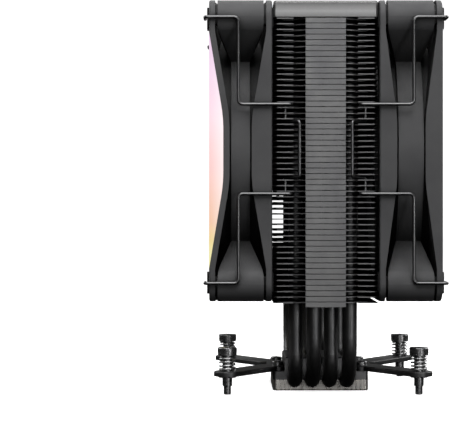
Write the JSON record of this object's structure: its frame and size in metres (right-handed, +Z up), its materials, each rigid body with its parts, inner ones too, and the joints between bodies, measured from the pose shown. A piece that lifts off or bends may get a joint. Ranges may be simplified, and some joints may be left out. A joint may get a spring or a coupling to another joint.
{
  "type": "cpu tower cooler",
  "caption": "Tower cooler: a notched fin stack on U-shaped heat pipes between two clipped square fans, the front one with a lit ring, on a base with sprung screws.",
  "frame": {"origin": "centre of the cold plate's contact face", "axes": "+Z up from the processor; +X the way the air flows, from the lit fan to the rear fan; Y along the fins"},
  "size_m": [0.0968, 0.1232, 0.159],
  "materials": {
    "frame_plastic": "fine textured black plastic",
    "blade_plastic": "satin black plastic",
    "light_lens": "milky translucent, lit from behind",
    "led_board": "white solder mask",
    "pad_rubber": "matt black rubber",
    "bronze": "oiled sintered bronze",
    "circuit_board": "green solder mask",
    "core_steel": "plain sheet steel",
    "copper_wire": "enamelled copper wire",
    "magnet": "bonded ferrite",
    "shaft_steel": "ground",
    "cover_aluminium": "brushed and anodised dark grey",
    "fin_aluminium": "black coated",
    "pipe_coating": "black coated, satin",
    "plated_copper": "nickel plated, milled",
    "bracket_steel": "black coated",
    "screw_steel": "black nickel",
    "spring_steel": "drawn wire",
    "clip_steel": "dark drawn wire"
  },
  "bodies": {
    "cooler": {"front_fan_frame": "frame_plastic", "front_fan_pads": "pad_rubber", "front_fan_bearing": "bronze", "front_fan_circuit_board": "circuit_board", "front_fan_stator_core": "core_steel", "front_fan_windings": "copper_wire", "rear_fan_frame": "frame_plastic", "rear_fan_pads": "pad_rubber", "rear_fan_bearing": "bronze", "rear_fan_circuit_board": "circuit_board", "rear_fan_stator_core": "core_steel", "rear_fan_windings": "copper_wire", "front_fan_light_ring": "light_lens", "front_fan_led_boards": "led_board", "top_cover": "cover_aluminium", "cooling_fins": "fin_aluminium", "heat_pipe_1": "pipe_coating", "heat_pipe_2": "pipe_coating", "heat_pipe_3": "pipe_coating", "heat_pipe_4": "pipe_coating", "cold_plate": "plated_copper", "base_block": "fin_aluminium", "front_bracket": "bracket_steel", "rear_bracket": "bracket_steel", "bracket_screws": "screw_steel", "front_near_spring": "spring_steel", "front_far_spring": "spring_steel", "rear_near_spring": "spring_steel", "rear_far_spring": "spring_steel"},
    "front_fan_rotor": {"front_fan_impeller": "blade_plastic", "front_fan_rotor_cup": "core_steel", "front_fan_magnet_ring": "magnet", "front_fan_shaft": "shaft_steel", "front_fan_retaining_clip": "blade_plastic"},
    "rear_fan_rotor": {"rear_fan_impeller": "blade_plastic", "rear_fan_rotor_cup": "core_steel", "rear_fan_magnet_ring": "magnet", "rear_fan_shaft": "shaft_steel", "rear_fan_retaining_clip": "blade_plastic"},
    "front_fan_near_clip": {"front_fan_near_clip": "clip_steel"},
    "front_fan_far_clip": {"front_fan_far_clip": "clip_steel"},
    "rear_fan_near_clip": {"rear_fan_near_clip": "clip_steel"},
    "rear_fan_far_clip": {"rear_fan_far_clip": "clip_steel"},
    "front_near_spring_seat": {"front_near_washer": "screw_steel"},
    "front_near_screw": {"front_near_spring_screw": "screw_steel", "front_near_retaining_ring": "screw_steel"},
    "front_far_spring_seat": {"front_far_washer": "screw_steel"},
    "front_far_screw": {"front_far_spring_screw": "screw_steel", "front_far_retaining_ring": "screw_steel"},
    "rear_near_spring_seat": {"rear_near_washer": "screw_steel"},
    "rear_near_screw": {"rear_near_spring_screw": "screw_steel", "rear_near_retaining_ring": "screw_steel"},
    "rear_far_spring_seat": {"rear_far_washer": "screw_steel"},
    "rear_far_screw": {"rear_far_spring_screw": "screw_steel", "rear_far_retaining_ring": "screw_steel"}
  },
  "joints": [
    {"name": "front_fan_spin", "type": "hinge", "parent": "cooler", "child": "front_fan_rotor", "pos_m": [-0.0337, 0, 0.099], "axis": [1, 0, 0], "continuous": true},
    {"name": "rear_fan_spin", "type": "hinge", "parent": "cooler", "child": "rear_fan_rotor", "pos_m": [0.0337, 0, 0.099], "axis": [1, 0, 0], "continuous": true},
    {"name": "front_fan_near_clip_swing", "type": "hinge", "parent": "cooler", "child": "front_fan_near_clip", "pos_m": [-0.01595, -0.054, 0.0996], "axis": [0, 0, 1], "range_deg": [0, 20]},
    {"name": "front_fan_far_clip_swing", "type": "hinge", "parent": "cooler", "child": "front_fan_far_clip", "pos_m": [-0.01595, 0.054, 0.0996], "axis": [0, 0, -1], "range_deg": [0, 20]},
    {"name": "rear_fan_near_clip_swing", "type": "hinge", "parent": "cooler", "child": "rear_fan_near_clip", "pos_m": [0.01595, -0.054, 0.0996], "axis": [0, 0, -1], "range_deg": [0, 20]},
    {"name": "rear_fan_far_clip_swing", "type": "hinge", "parent": "cooler", "child": "rear_fan_far_clip", "pos_m": [0.01595, 0.054, 0.0996], "axis": [0, 0, 1], "range_deg": [0, 20]},
    {"name": "front_near_spring_travel", "type": "slide", "parent": "cooler", "child": "front_near_spring_seat", "axis": [0, 0, 1], "range_m": [-0.0025, 0], "stiffness_N_per_m": 4000, "springref_m": 0.002, "deforming": ["front_near_spring"]},
    {"name": "front_near_screw_turn", "type": "hinge", "parent": "front_near_spring_seat", "child": "front_near_screw", "pos_m": [-0.039, -0.039, 0], "axis": [0, 0, 1], "continuous": true},
    {"name": "front_far_spring_travel", "type": "slide", "parent": "cooler", "child": "front_far_spring_seat", "axis": [0, 0, 1], "range_m": [-0.0025, 0], "stiffness_N_per_m": 4000, "springref_m": 0.002, "deforming": ["front_far_spring"]},
    {"name": "front_far_screw_turn", "type": "hinge", "parent": "front_far_spring_seat", "child": "front_far_screw", "pos_m": [-0.039, 0.039, 0], "axis": [0, 0, 1], "continuous": true},
    {"name": "rear_near_spring_travel", "type": "slide", "parent": "cooler", "child": "rear_near_spring_seat", "axis": [0, 0, 1], "range_m": [-0.0025, 0], "stiffness_N_per_m": 4000, "springref_m": 0.002, "deforming": ["rear_near_spring"]},
    {"name": "rear_near_screw_turn", "type": "hinge", "parent": "rear_near_spring_seat", "child": "rear_near_screw", "pos_m": [0.039, -0.039, 0], "axis": [0, 0, 1], "continuous": true},
    {"name": "rear_far_spring_travel", "type": "slide", "parent": "cooler", "child": "rear_far_spring_seat", "axis": [0, 0, 1], "range_m": [-0.0025, 0], "stiffness_N_per_m": 4000, "springref_m": 0.002, "deforming": ["rear_far_spring"]},
    {"name": "rear_far_screw_turn", "type": "hinge", "parent": "rear_far_spring_seat", "child": "rear_far_screw", "pos_m": [0.039, 0.039, 0], "axis": [0, 0, 1], "continuous": true}
  ]
}
